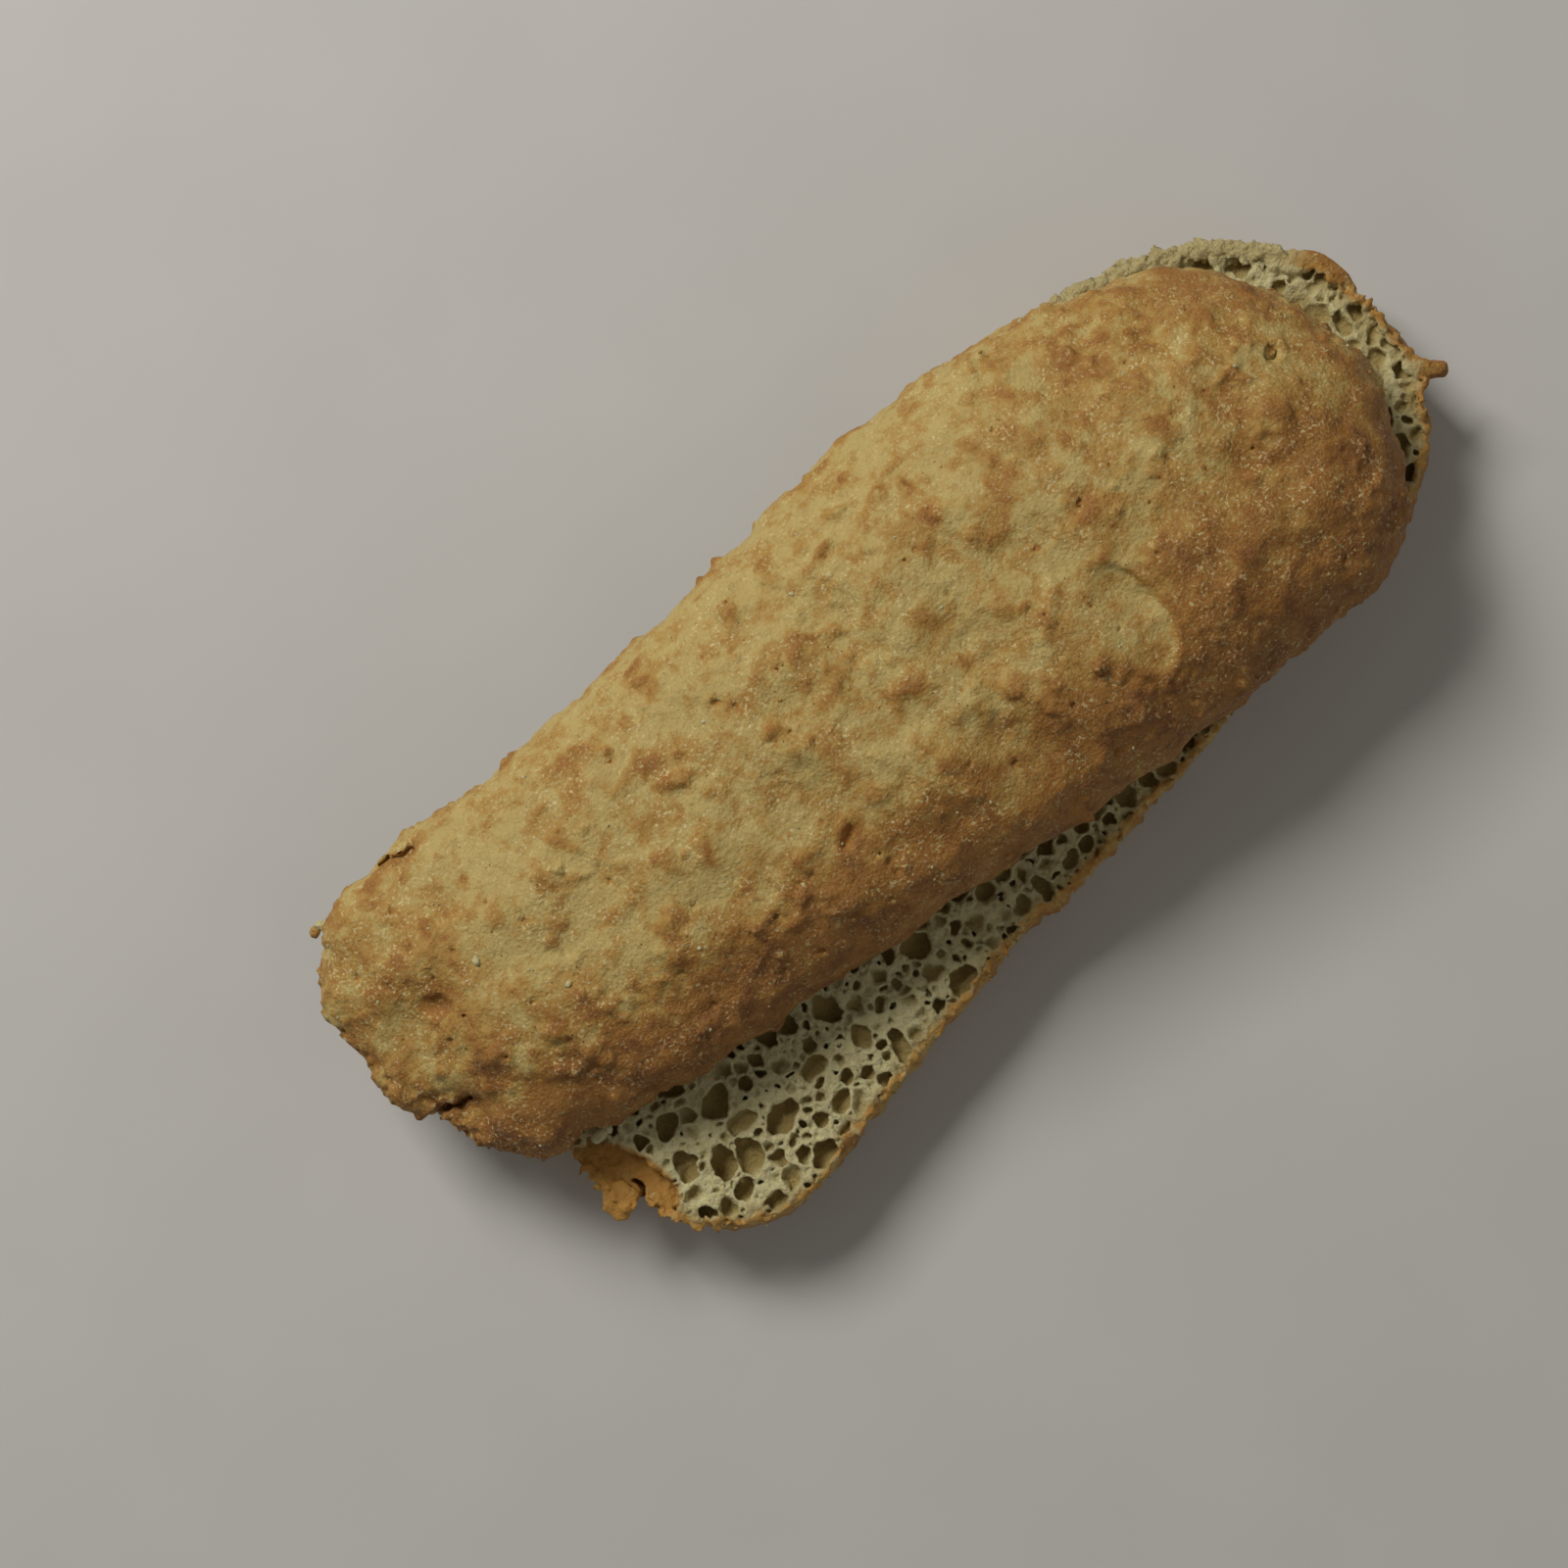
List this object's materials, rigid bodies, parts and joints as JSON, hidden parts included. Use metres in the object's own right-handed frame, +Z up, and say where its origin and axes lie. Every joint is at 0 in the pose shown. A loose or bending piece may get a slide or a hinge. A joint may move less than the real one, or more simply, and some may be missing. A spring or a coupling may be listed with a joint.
{
  "type": "sandwich loaf",
  "caption": "Long crusty sandwich loaf split level, its domed top half laid askew on the open crumb of the bottom half.",
  "frame": {"origin": "middle of the bounding box, on the surface that the loaf rests on", "axes": "+X along the length of the bottom half, +Z up, cut faces level"},
  "size_m": [0.247, 0.1148, 0.0534],
  "materials": {
    "upper_crust": "matte baked crust with floury marks and small pits",
    "lower_crust": "matte baked crust round pale open crumb"
  },
  "bodies": {
    "root": {"loaf_top": "upper_crust", "loaf_bottom": "lower_crust"}
  },
  "joints": []
}
